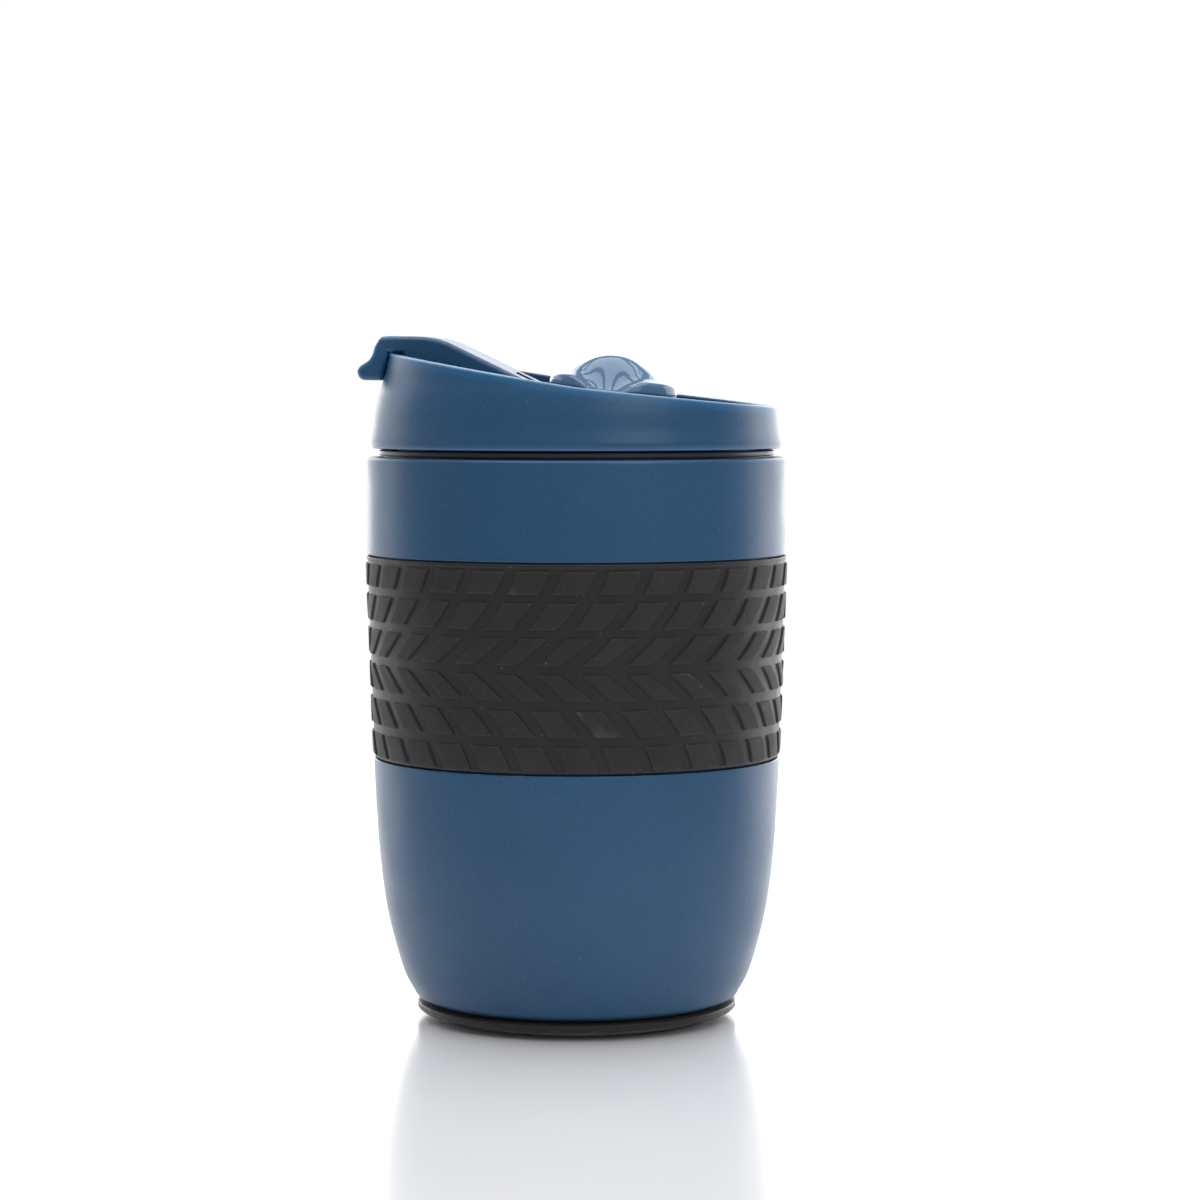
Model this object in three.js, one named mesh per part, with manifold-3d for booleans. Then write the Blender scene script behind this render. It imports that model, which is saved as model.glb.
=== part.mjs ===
// Insulated travel mug: a blue two-wall body with a rubber grip sleeve, a push-in lid with a
// drinking flap and a vent knob, and a suction foot that drops a little when the mug is lifted.
// Millimetres, +Z up, origin on the mug's axis where the suction lip meets the table.
// The raised side of the lid, with the flap's tab, points to -X.
import * as THREE from 'three';
import { mergeVertices } from 'three/addons/utils/BufferGeometryUtils.js';
import Module from 'manifold-3d';

const wasm = await Module();
wasm.setup();

// ---- driving dimensions -------------------------------------------------------------------
const gap = 0.3; // between pieces that touch
const roundSegments = 36;
const smallSegments = 16;

const shellBottomZ = 4.1;
const shellTopZ = 119.6;
const shellTopR = 44.6;
const shellFloor = 2.0;
const chamberR = 33.4; // room for the suction foot inside the shell
const ledgeZ = 15.7; // the bottom plate is welded on here
const ledgeR = 36.6;

const sleeveBottomZ = 55.9;
const sleeveTopZ = 98.6;
const sleeveInnerBottomR = 41.9;
const sleeveInnerTopR = 43.3;

const linerFloorZ = 20.6;
const linerWall = 0.7;
const mouthR = 39.2; // inside of the steel liner at its mouth

const collarTopZ = 121.1;
const collarR = 42.1;

const footOpeningR = 31.5;
const flangeR = 34.1;
const flangeBottomZ = 1.5;
const flangeTopZ = 3.2;
const neckR = 31.0;
const neckWall = 1.4;
const carrierZ = 7.4;
const carrierThick = 1.6;
const footTravel = 2.5;
const windowCount = 4;
const screwCount = 3;
const screwCircleR = 12;
const screwShankR = 1.2;

const cupLipR = 28.8;
const clampR = 19.7;
const clampBottomZ = 4.3;
const clampThick = 1.3;

const lidBottomZ = 121.4;
const lidWall = 2.0;
const highSlope = 0.165; // the lid's rim falls in two planes from -X to +X
const lowSlope = 0.105;
const highRimZ = 135.05; // heights of the two planes on the axis
const lowRimZ = 134.75;
const rimBlend = 0.08;
const deckDepth = 1.6; // below the rim
const deckThick = 2.0;

const channelDepth = 6.3; // flap channel, below the rim
const channelFloor = 1.6;
const channelHalfWidth = 10.7;
const channelEndX = -7.5;

const flapHalfWidth = 10.3;
const hingeX = -11;
const hingeZ = 133.9;
const pinR = 0.85;
const lugHalfWidth = 3.2;
const lugR = 1.7;
const tailR = 3.0;
const flapSlope = 0.483;
const flapSlopeZ = 143.3; // height of the sloping top face at flapSlopeX
const flapSlopeX = -25;
const flapTopZ = 145.1;
const tabReachR = 46.6;
const tabBottomZ = 135.8;
const drinkHoleX = -30;
const drinkHoleR = 4.2;

const knobX = 7.8;
const knobR = 13.7;
const knobLift = 0.6; // knob's underside, below the rim plane
const seatR = 10.5;
const stemR = 3.0;
const ventHoleCircleR = 7;
const ventHoleR = 1.1;

const plugR = 38.2;
const plugWall = 2.4;
const plugBottomZ = 109;

// ---- finishes -----------------------------------------------------------------------------
function finish(color, roughness, metalness) {
  return new THREE.MeshStandardMaterial({ color, roughness, metalness });
}
const bluePlastic = finish(0x33587a, 0.45, 0.0);
const glossBlue = finish(0x6c8cab, 0.12, 0.0);
const blackRubber = finish(0x2c2a2d, 0.75, 0.0);
const darkPlastic = finish(0x35383f, 0.4, 0.0);
const clearSilicone = finish(0xb9bcc2, 0.4, 0.0);
const steel = finish(0xb8bcc0, 0.3, 1.0);

// ---- solids -------------------------------------------------------------------------------
function toSolid(geometry) {
  const bare = geometry.clone();
  bare.deleteAttribute('normal');
  bare.deleteAttribute('uv');
  const merged = mergeVertices(bare, 1e-4);
  const vertProperties = new Float32Array(merged.attributes.position.array);
  const triVerts = new Uint32Array(merged.index.array);
  return new wasm.Manifold(new wasm.Mesh({ numProp: 3, vertProperties, triVerts }));
}

function toGeometry(solid) {
  const mesh = solid.getMesh();
  const geometry = new THREE.BufferGeometry();
  geometry.setAttribute('position', new THREE.BufferAttribute(mesh.vertProperties, 3));
  geometry.setIndex(new THREE.BufferAttribute(mesh.triVerts, 1));
  return geometry;
}

// A ring or cup turned about Z. The profile runs anticlockwise as [radius, height] pairs,
// and a ring's profile is closed by repeating its first point.
function turned(profile, segments = roundSegments) {
  const onAxis = profile[0][0] === 0;
  const closed = onAxis ? profile : [...profile, profile[0]];
  const points = closed.map(([r, z]) => new THREE.Vector2(r, z));
  const geometry = new THREE.LatheGeometry(points, segments);
  geometry.rotateX(Math.PI / 2);
  return geometry;
}

function cylinder(radius, z0, z1, x = 0, y = 0, segments = smallSegments) {
  const geometry = new THREE.CylinderGeometry(radius, radius, z1 - z0, segments);
  geometry.rotateX(Math.PI / 2);
  geometry.translate(x, y, (z0 + z1) / 2);
  return geometry;
}

// A bar along Y whose outline is drawn in the XZ plane.
function barAlongY(outline, halfWidth, middleY = 0) {
  const shape = new THREE.Shape(outline.map(([x, z]) => new THREE.Vector2(x, z)));
  const geometry = new THREE.ExtrudeGeometry(shape, { depth: 2 * halfWidth, bevelEnabled: false });
  geometry.rotateX(Math.PI / 2);
  geometry.translate(0, middleY + halfWidth, 0);
  return geometry;
}

function box(x0, x1, y0, y1, z0, z1) {
  const geometry = new THREE.BoxGeometry(x1 - x0, y1 - y0, z1 - z0);
  geometry.translate((x0 + x1) / 2, (y0 + y1) / 2, (z0 + z1) / 2);
  return geometry;
}

function piece(name, geometry, material) {
  const mesh = new THREE.Mesh(geometry, material);
  mesh.name = name;
  return mesh;
}

// ---- mug body -----------------------------------------------------------------------------
function outerShell() {
  return turned([
    [footOpeningR, shellBottomZ], [33.0, shellBottomZ], [34.2, 4.5], [35.6, 6.2], [36.9, 9.5],
    [39.0, 16.3], [40.6, 23.1], [41.6, 30.0], [42.3, 36.8], [43.1, 50.5],
    [43.3, sleeveBottomZ - gap], [sleeveInnerBottomR - gap, sleeveBottomZ - gap],
    [sleeveInnerTopR - gap, sleeveTopZ + gap], [shellTopR, sleeveTopZ + gap],
    [shellTopR, shellTopZ - 0.9], [shellTopR - 0.8, shellTopZ], [41.5, shellTopZ],
    [41.3, sleeveTopZ], [39.9, 54], [39.9, 44], [39.0, 31], [37.6, 22], [ledgeR, 17],
    [ledgeR, ledgeZ], [chamberR, ledgeZ], [chamberR, shellBottomZ + shellFloor],
    [footOpeningR, shellBottomZ + shellFloor],
  ]);
}

function gripSleeve() {
  return turned([
    [sleeveInnerBottomR, sleeveBottomZ], [43.3, sleeveBottomZ], [43.6, 56.5], [44.0, 67.5],
    [44.4, 80], [44.8, 91], [45.0, 97.6], [44.7, sleeveTopZ], [sleeveInnerTopR, sleeveTopZ],
  ]);
}

function innerLiner() {
  const outside = [
    [28, linerFloorZ], [32, 21.6], [34.6, 24.6], [36.2, 30], [37.4, 40], [38.2, 52],
    [38.9, 70], [39.5, 90], [mouthR + linerWall, 104], [mouthR + linerWall, shellTopZ],
  ];
  const inside = outside.map(([r, z]) => [r - linerWall, z]).reverse();
  inside[inside.length - 1] = [28 - linerWall, linerFloorZ + linerWall];
  inside[inside.length - 2] = [31.6, 22.3];
  return turned([[0, linerFloorZ], ...outside, ...inside, [0, linerFloorZ + linerWall]]);
}

function mouthCollar() {
  const flangeZ = shellTopZ + gap;
  return turned([
    [40.35, 113], [41.15, 113], [41.15, flangeZ], [collarR, flangeZ], [collarR, collarTopZ],
    [39.0, collarTopZ], [39.0, flangeZ], [40.35, flangeZ],
  ]);
}

function bottomPlate() {
  const z = ledgeZ + gap;
  return turned([[1.9, z], [ledgeR - 0.4, z], [ledgeR - 0.4, z + 2.2], [1.9, z + 2.2]]);
}

function valveStem() {
  return turned([
    [0, 10.0], [1.6, 10.0], [1.6, 12.0], [3.0, 12.0], [3.0, ledgeZ], [1.5, ledgeZ],
    [1.5, 20.2], [0, 20.2],
  ], smallSegments);
}

function stemNut() {
  return turned([[1.85, 18.5], [3.5, 18.5], [3.5, 19.9], [1.85, 19.9]], 6);
}

function valvePad() {
  const seatZ = carrierZ + carrierThick + gap;
  return turned([
    [0, seatZ], [7.2, seatZ], [7.2, 11.7], [1.95, 11.7], [1.95, 9.7], [0, 9.7],
  ], smallSegments);
}

// ---- suction foot -------------------------------------------------------------------------
function screwPlaces() {
  return Array.from({ length: screwCount }, (_, i) => {
    const angle = (2 * Math.PI * i) / screwCount + Math.PI / 2;
    return [screwCircleR * Math.cos(angle), screwCircleR * Math.sin(angle)];
  });
}

function drilled(geometry, z0, z1) {
  let solid = toSolid(geometry);
  for (const [x, y] of screwPlaces()) {
    solid = solid.subtract(toSolid(cylinder(screwShankR + 0.4, z0, z1, x, y, 12)));
  }
  return solid;
}

// Flange, windowed neck with a snap edge inside the shell, and the disc that carries the cup.
function baseRing() {
  const boreR = neckR - neckWall;
  const carrierTopZ = carrierZ + carrierThick;
  const catchZ = shellBottomZ + shellFloor + footTravel + 0.4;
  const ring = turned([
    [boreR + 0.4, flangeBottomZ], [flangeR - 0.7, flangeBottomZ], [flangeR, 2.0],
    [flangeR, 2.8], [flangeR - 0.4, flangeTopZ], [neckR, flangeTopZ], [neckR, catchZ],
    [32.7, catchZ + 0.3], [32.7, catchZ + 0.7], [31.6, 10.6], [29.8, 10.6],
    [29.8, carrierTopZ], [4.5, carrierTopZ], [4.5, carrierZ], [boreR, carrierZ],
    [boreR, flangeBottomZ + 0.4],
  ]);
  let solid = drilled(ring, carrierZ - 1, carrierTopZ + 1);
  for (let i = 0; i < windowCount; i += 1) {
    const cutter = box(27, 36, -12, 12, 3.7, 6.9);
    cutter.rotateZ((Math.PI / 2) * i + Math.PI / 4);
    solid = solid.subtract(toSolid(cutter));
  }
  return toGeometry(solid);
}

function suctionCup() {
  const webZ = clampBottomZ + clampThick + gap;
  const topZ = carrierZ - gap;
  const cup = turned([
    [27.9, 0], [28.7, 0], [cupLipR, 0.4], [28.3, 0.9], [28.6, 1.4], [28.0, 2.0],
    [28.1, 2.6], [27.4, 3.6], [26.9, topZ], [5.0, topZ], [5.0, webZ],
    [clampR + gap, webZ], [clampR + gap, clampBottomZ], [22.5, 3.7], [25.2, 2.4], [27.2, 0.8],
  ]);
  return toGeometry(drilled(cup, webZ - 1, topZ + 1));
}

function cupClampPlate() {
  const topZ = clampBottomZ + clampThick;
  const plate = turned([[4.0, clampBottomZ], [clampR, clampBottomZ], [clampR, topZ], [4.0, topZ]]);
  return toGeometry(drilled(plate, clampBottomZ - 1, topZ + 1));
}

function clampScrew(x, y) {
  const headTopZ = clampBottomZ - gap;
  const screw = turned([
    [0, headTopZ - 0.9], [2.4, headTopZ - 0.9], [2.4, headTopZ], [screwShankR, headTopZ],
    [screwShankR, 10.0], [0, 10.0],
  ], 12);
  screw.translate(x, y, 0);
  return screw;
}

// ---- lid ----------------------------------------------------------------------------------
function rimZ(x) {
  const high = highRimZ - highSlope * x;
  const low = lowRimZ - lowSlope * x;
  return (high + low) / 2 + Math.hypot((high - low) / 2, rimBlend);
}

const lidOutline = [
  [43.3, lidBottomZ], [43.8, 122.0], [43.75, 122.8], [43.2, 126.0], [42.8, 129.4],
  [42.0, 132.9], [41.2, 135.2], [40.5, 138.0], [39.8, 141.2], [39.6, 142.4],
];

function lidBlank(offset) {
  const side = lidOutline.map(([r, z]) => [r + offset, z]);
  const first = [side[0][0], lidBottomZ - 2];
  const last = [side[side.length - 1][0], 150];
  return toSolid(turned([[0, first[1]], first, ...side, last, [0, last[1]]]));
}

const rimStations = [-48, -38, -28, -18, -8, 0, 3, 5, 7, 10, 20, 30, 40, 48];

// Everything between two surfaces that follow the rim at the given offsets.
function rimLayer(lowOffset, highOffset, x0 = -48, x1 = 48, halfWidth = 48) {
  const xs = [x0, ...rimStations.filter((x) => x > x0 && x < x1), x1];
  const lower = xs.map((x) => [x, rimZ(x) + lowOffset]);
  const upper = xs.map((x) => [x, rimZ(x) + highOffset]).reverse();
  return toSolid(barAlongY([...lower, ...upper], halfWidth));
}

const knobTilt = Math.atan(lowSlope);
const knobBaseZ = lowRimZ - lowSlope * knobX - knobLift;

// Moves a shape drawn about the knob's own axis to its place on the lid.
function onKnobAxis(geometry) {
  geometry.rotateY(knobTilt);
  geometry.translate(knobX, 0, knobBaseZ);
  return geometry;
}

const deckTopW = -(deckDepth - knobLift);
const deckUnderW = deckTopW - deckThick;
const seatTopW = -gap;

function hingeLug() {
  const arc = Array.from({ length: 9 }, (_, i) => {
    const angle = (Math.PI * i) / 8;
    return [hingeX + lugR * Math.cos(angle), hingeZ + lugR * Math.sin(angle)];
  });
  const footZ = rimZ(hingeX) - channelDepth - 0.8;
  const outline = [[hingeX - lugR - 0.5, footZ], [hingeX + lugR + 0.5, footZ], ...arc];
  return toSolid(barAlongY(outline, lugHalfWidth));
}

function pinBore(radius, halfLength) {
  const bore = new THREE.CylinderGeometry(radius, radius, 2 * halfLength, 12);
  bore.translate(hingeX, 0, hingeZ);
  return bore;
}

function lidShell() {
  const outside = lidBlank(0);
  const inside = lidBlank(-lidWall);
  const intoWall = lidBlank(-lidWall / 2);
  const ring = toSolid(box(-60, 60, -60, 60, lidBottomZ, 160));
  const deck = rimLayer(-deckDepth - deckThick, -deckDepth).intersect(intoWall);
  const wall = outside.subtract(inside).intersect(ring).intersect(rimLayer(-40, 0));
  const tub = rimLayer(-channelDepth - channelFloor, -deckDepth - 0.5, -48,
    channelEndX + channelFloor, channelHalfWidth + channelFloor).intersect(intoWall);
  const channel = rimLayer(-channelDepth, 10, -48, channelEndX, channelHalfWidth)
    .intersect(inside);
  const hub = toSolid(onKnobAxis(cylinder(seatR, deckUnderW, seatTopW, 0, 0, roundSegments)));
  let solid = wall.add(deck).add(tub).subtract(channel).add(hub).add(hingeLug());
  solid = solid.subtract(toSolid(pinBore(pinR + gap, 5)));
  solid = solid.subtract(toSolid(onKnobAxis(cylinder(stemR + 0.4, -6, 2))));
  solid = solid.subtract(toSolid(onKnobAxis(cylinder(5.0, -2.1, 2))));
  for (const side of [-1, 1]) {
    const hole = cylinder(ventHoleR, -6, 2, 0, side * ventHoleCircleR, 10);
    solid = solid.subtract(toSolid(onKnobAxis(hole)));
  }
  return toGeometry(solid.subtract(toSolid(cylinder(drinkHoleR, 126, 138, drinkHoleX, 0))));
}

function lidPlug() {
  const boreR = plugR - plugWall;
  return turned([
    [boreR, plugBottomZ], [plugR - 0.6, plugBottomZ], [plugR, plugBottomZ + 0.8],
    [plugR, 112], [37.0, 112], [37.0, 115.4], [plugR, 115.4], [plugR, lidBottomZ],
    [41.0, lidBottomZ], [41.0, 123.2], [boreR, 123.2],
  ]);
}

function lidGasket() {
  return turned([
    [37.3, 112.3], [38.5, 112.3], [38.9, 112.9], [38.5, 113.7], [38.9, 114.5],
    [38.5, 115.1], [37.3, 115.1],
  ]);
}

// ---- drinking flap ------------------------------------------------------------------------
function flapOutline() {
  const tailAngle = Math.atan2(1.3, 2.7);
  const tail = Array.from({ length: 6 }, (_, i) => {
    const angle = -Math.PI / 2 + ((Math.PI / 2 + tailAngle) * i) / 5;
    return [hingeX + tailR * Math.cos(angle), hingeZ + tailR * Math.sin(angle)];
  });
  const onSlope = (x) => [x, flapSlopeZ - flapSlope * (x - flapSlopeX)];
  const over = gap + 0.05;
  const stepX = -35.9;
  return [
    [-47, tabBottomZ], [-44.6, tabBottomZ], [-39, tabBottomZ], [-39, rimZ(-39) + over],
    [stepX, rimZ(stepX) + over], [stepX, rimZ(stepX) - channelDepth + 0.4],
    ...tail, onSlope(-9.2), onSlope(-26), [-28.5, 144.55], [-31.5, 145.0],
    [-35, flapTopZ], [-40.2, flapTopZ], [-41.8, 144.5], [-42.8, 143.1], [-43.2, 141.4],
    [-44.1, 140.0], [-45.6, 139.1], [-46.6, 138.2], [-46.6, 137.2], [-46.0, 136.2],
  ].slice(1);
}

function drinkingFlap() {
  const body = toSolid(barAlongY(flapOutline(), flapHalfWidth));
  const lidSpace = lidBlank(gap + 0.05).intersect(rimLayer(-40, gap, -48, -36.2));
  const reach = toSolid(cylinder(tabReachR, 120, 150, 0, 0, 80));
  const skin = 1.6;
  const pocket = toSolid(barAlongY([
    [-34.2, 128], [-14.6, 128], [-14.6, flapSlopeZ - flapSlope * (-14.6 - flapSlopeX) - skin],
    [-26.2, flapSlopeZ - flapSlope * (-26.2 - flapSlopeX) - skin], [-34.2, flapTopZ - skin - 0.4],
  ], flapHalfWidth - skin));
  const boss = toSolid(cylinder(5.2, 135.3, 143.6, drinkHoleX, 0));
  const lugNotch = toSolid(box(-13.2, -6, -lugHalfWidth - 0.4, lugHalfWidth + 0.4, 128, 140));
  let solid = body.subtract(lidSpace).intersect(reach).subtract(pocket);
  solid = solid.add(boss.intersect(body)).subtract(lugNotch);
  return toGeometry(solid.subtract(toSolid(pinBore(pinR + gap, 9.2))));
}

function drinkStopper() {
  const profile = [[0, 131.7], [3.2, 131.7], [3.8, 134.2], [3.8, 135.0], [0, 135.0]];
  const stopper = turned(profile, smallSegments);
  stopper.translate(drinkHoleX, 0, 0);
  return stopper;
}

// ---- vent knob ----------------------------------------------------------------------------
function ventKnob() {
  let solid = toSolid(turned([
    [0, -5.4], [stemR, -5.4], [stemR, 0], [13.4, 0], [knobR, 0.7], [13.3, 2.3],
    [12.3, 2.95], [10.5, 3.45], [9.0, 4.4], [7.0, 5.85], [5.2, 6.8], [3.0, 7.5], [0, 7.85],
  ]));
  for (const side of [-1, 1]) {
    const scoop = new THREE.SphereGeometry(1, 20, 14);
    scoop.rotateX(Math.PI / 2);
    scoop.scale(10.5, 14, 9);
    scoop.translate(0, side * 17, 8);
    solid = solid.subtract(toSolid(scoop));
  }
  solid = solid.subtract(toSolid(cylinder(1.3, -6, -0.7, 0, 0, 12)));
  return onKnobAxis(toGeometry(solid));
}

function ventDisc() {
  const topW = deckUnderW - gap;
  const bottomW = -5.1;
  let solid = toSolid(turned([
    [stemR + gap, bottomW], [9.5, bottomW], [9.5, topW], [stemR + gap, topW],
  ], smallSegments));
  for (const side of [-1, 1]) {
    const port = cylinder(ventHoleR, -6, -3, side * ventHoleCircleR, 0, 10);
    solid = solid.subtract(toSolid(port));
  }
  return onKnobAxis(toGeometry(solid));
}

function ventScrew() {
  return onKnobAxis(turned([
    [0, -6.9], [4.6, -6.9], [4.6, -5.7], [1.0, -5.7], [1.0, -1.0], [0, -1.0],
  ], 12));
}

function knobSeal() {
  const ring = new THREE.TorusGeometry(4.0, 0.6, 8, smallSegments);
  ring.translate(0, 0, -1.15);
  return onKnobAxis(ring);
}

// ---- assembly -----------------------------------------------------------------------------
const mug = new THREE.Group();
mug.add(piece('outer_shell', outerShell(), bluePlastic));
mug.add(piece('inner_liner', innerLiner(), steel));
mug.add(piece('mouth_collar', mouthCollar(), darkPlastic));
mug.add(piece('grip_sleeve', gripSleeve(), blackRubber));
mug.add(piece('bottom_plate', bottomPlate(), darkPlastic));
mug.add(piece('valve_stem', valveStem(), darkPlastic));
mug.add(piece('stem_nut', stemNut(), steel));
mug.add(piece('valve_pad', valvePad(), blackRubber));

const suctionFoot = new THREE.Group();
suctionFoot.add(piece('base_ring', baseRing(), blackRubber));
suctionFoot.add(piece('suction_cup', suctionCup(), clearSilicone));
suctionFoot.add(piece('cup_clamp_plate', cupClampPlate(), darkPlastic));
screwPlaces().forEach(([x, y], i) => {
  suctionFoot.add(piece(`clamp_screw_${i + 1}`, clampScrew(x, y), steel));
});

const flap = new THREE.Group();
flap.add(piece('drinking_flap', drinkingFlap(), bluePlastic));
flap.add(piece('drink_stopper', drinkStopper(), clearSilicone));

const vent = new THREE.Group();
vent.add(piece('vent_knob', ventKnob(), glossBlue));
vent.add(piece('vent_disc', ventDisc(), clearSilicone));
vent.add(piece('vent_screw', ventScrew(), steel));

const lid = new THREE.Group();
lid.add(piece('lid_shell', lidShell(), bluePlastic));
lid.add(piece('lid_plug', lidPlug(), darkPlastic));
lid.add(piece('lid_gasket', lidGasket(), clearSilicone));
lid.add(piece('knob_seal', knobSeal(), blackRubber));
lid.add(piece('flap_pin', pinBore(pinR, 8.8), steel));
lid.add(flap, vent);

const travelMug = new THREE.Group();
travelMug.add(mug, suctionFoot, lid);

export default travelMug;
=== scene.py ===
import math

import bmesh
import bpy
import numpy as np
from mathutils import Matrix, Vector


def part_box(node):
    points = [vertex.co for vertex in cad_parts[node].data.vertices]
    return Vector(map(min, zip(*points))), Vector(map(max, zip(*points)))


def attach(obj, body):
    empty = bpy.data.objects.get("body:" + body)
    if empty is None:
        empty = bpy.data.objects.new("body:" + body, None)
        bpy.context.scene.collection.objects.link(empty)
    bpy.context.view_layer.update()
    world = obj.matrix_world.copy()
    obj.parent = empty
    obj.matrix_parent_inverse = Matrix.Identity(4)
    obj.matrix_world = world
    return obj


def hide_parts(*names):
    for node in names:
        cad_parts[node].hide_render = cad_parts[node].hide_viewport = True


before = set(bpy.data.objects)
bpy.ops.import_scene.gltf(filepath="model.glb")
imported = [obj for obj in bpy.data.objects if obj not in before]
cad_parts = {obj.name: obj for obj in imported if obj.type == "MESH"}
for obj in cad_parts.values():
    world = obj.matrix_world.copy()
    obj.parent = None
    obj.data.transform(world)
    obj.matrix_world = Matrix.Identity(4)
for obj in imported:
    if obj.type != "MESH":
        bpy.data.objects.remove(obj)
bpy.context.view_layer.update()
mm = 0.001
print("frame loaded:", len(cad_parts), "nodes")


def put(name, points, faces, body, node=None):
    mesh = bpy.data.meshes.new(name)
    mesh.from_pydata([(x * mm, y * mm, z * mm) for x, y, z in points], [], faces)
    mesh.validate()
    work = bmesh.new()
    work.from_mesh(mesh)
    bmesh.ops.remove_doubles(work, verts=work.verts, dist=1e-7)
    bmesh.ops.recalc_face_normals(work, faces=work.faces)
    work.to_mesh(mesh)
    work.free()
    mesh.polygons.foreach_set("use_smooth", [True] * len(mesh.polygons))
    piece = bpy.data.objects.new(name, mesh)
    bpy.context.scene.collection.objects.link(piece)
    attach(piece, body)
    if node:
        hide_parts(node)
    return piece


def tidyNormals(piece, angle=38):
    piece.data.set_sharp_from_angle(angle=math.radians(angle))
    weighted = piece.modifiers.new("evenNormals", "WEIGHTED_NORMAL")
    weighted.keep_sharp = True
    return piece


def rounded(outline, closed=True, steps=5):
    # (r, z) is a plain corner, (r, z, fillet) a rounded one
    result = []
    most = 0.48  # the share of a side that one fillet may take
    count = len(outline)
    for i, corner in enumerate(outline):
        here = np.array(corner[:2], float)
        fillet = corner[2] if len(corner) > 2 else 0
        if not fillet or (not closed and i in (0, count - 1)):
            result.append(tuple(here))
            continue
        back = np.array(outline[i - 1][:2], float) - here
        ahead = np.array(outline[(i + 1) % count][:2], float) - here
        backLength, aheadLength = np.linalg.norm(back), np.linalg.norm(ahead)
        back, ahead = back / backLength, ahead / aheadLength
        half = math.acos(float(np.clip(back @ ahead, -1, 1))) / 2
        reach = min(fillet / math.tan(half), most * backLength, most * aheadLength)
        radius = reach * math.tan(half)
        middle = here + (back + ahead) / np.linalg.norm(back + ahead) * radius / math.sin(half)
        first, last = here + back * reach - middle, here + ahead * reach - middle
        sweep = math.pi - 2 * half
        for k in range(steps + 1):
            t = k / steps
            direction = (math.sin((1 - t) * sweep) * first + math.sin(t * sweep) * last) / math.sin(sweep)
            result.append(tuple(middle + direction))
    return result


def smoothRun(points, pieces=5):
    # a Catmull-Rom curve through the points
    path = [np.array(p, float) for p in points]
    path = [2 * path[0] - path[1]] + path + [2 * path[-1] - path[-2]]
    run = []
    for a, b, c, d in zip(path, path[1:], path[2:], path[3:]):
        for k in range(pieces):
            t = k / pieces
            run.append(tuple(0.5 * (2 * b + (c - a) * t + (2 * a - 5 * b + 4 * c - d) * t * t
                                    + (3 * b - a - 3 * c + d) * t ** 3)))
    return run + [tuple(path[-2])]


def turned(name, outline, body, node=None, steps=180, centre=(0, 0), closed=True):
    # a ring closes on itself; closed=False starts and ends on the axis
    points, faces, rings = [], [], []
    for r, z in outline:
        if r < 1e-6:
            rings.append([len(points)] * steps)
            points.append((centre[0], centre[1], z))
            continue
        rings.append(list(range(len(points), len(points) + steps)))
        for k in range(steps):
            angle = 2 * math.pi * k / steps
            points.append((centre[0] + r * math.cos(angle), centre[1] + r * math.sin(angle), z))
    pairs = list(zip(rings, rings[1:])) + ([(rings[-1], rings[0])] if closed else [])
    for low, high in pairs:
        for k in range(steps):
            n = (k + 1) % steps
            face = list(dict.fromkeys([low[k], low[n], high[n], high[k]]))
            if len(face) > 2:
                faces.append(face)
    return tidyNormals(put(name, points, faces, body, node))


def cutWith(piece, cutter, operation="DIFFERENCE", overlapping=False):
    boolean = piece.modifiers.new("cut", "BOOLEAN")
    boolean.use_self = overlapping
    boolean.operation = operation
    boolean.solver = "EXACT"
    boolean.object = cutter
    piece.modifiers.move(len(piece.modifiers) - 1, 0)
    bpy.context.view_layer.objects.active = piece
    bpy.ops.object.modifier_apply(modifier="cut")
    bpy.data.objects.remove(cutter)
    return piece


def loosePart(name, points, faces):
    # stands in the scene only until it has cut or joined a piece
    mesh = bpy.data.meshes.new(name)
    mesh.from_pydata([(x * mm, y * mm, z * mm) for x, y, z in points], [], faces)
    work = bmesh.new()
    work.from_mesh(mesh)
    bmesh.ops.recalc_face_normals(work, faces=work.faces)
    work.to_mesh(mesh)
    work.free()
    part = bpy.data.objects.new(name, mesh)
    bpy.context.scene.collection.objects.link(part)
    return part


def plainBar(outline, y0, y1):
    # a bar along Y; its outline is in x and z
    count = len(outline)
    points = [(x, y, z) for y in (y0, y1) for x, z in outline]
    faces = [list(range(count)), list(range(count, 2 * count))]
    faces += [[i, (i + 1) % count, count + (i + 1) % count, count + i] for i in range(count)]
    return loosePart("bar", points, faces)


def disc(cx, cy, radius, steps):
    return [(cx + radius * math.cos(2 * math.pi * k / steps),
             cy + radius * math.sin(2 * math.pi * k / steps)) for k in range(steps)]


def plainPost(cx, cy, radius, z0, z1, steps=64):
    circle = disc(cx, cy, radius, steps)
    points = [(x, y, z) for z in (z0, z1) for x, y in circle]
    faces = [list(range(steps))[::-1], list(range(steps, 2 * steps))]
    faces += [[i, (i + 1) % steps, steps + (i + 1) % steps, steps + i] for i in range(steps)]
    return loosePart("post", points, faces)


def smoothStep(t):
    t = np.clip(t, 0, 1)
    return t * t * (3 - 2 * t)


def fromSrgb(r, g, b):
    return [((c / 255 + 0.055) / 1.055) ** 2.4 if c > 10 else c / 255 / 12.92 for c in (r, g, b)] + [1]


wear = dict(start=0.53, full=0.62, scale=160)
dust = dict(step=0.03, share=0.35)


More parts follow.
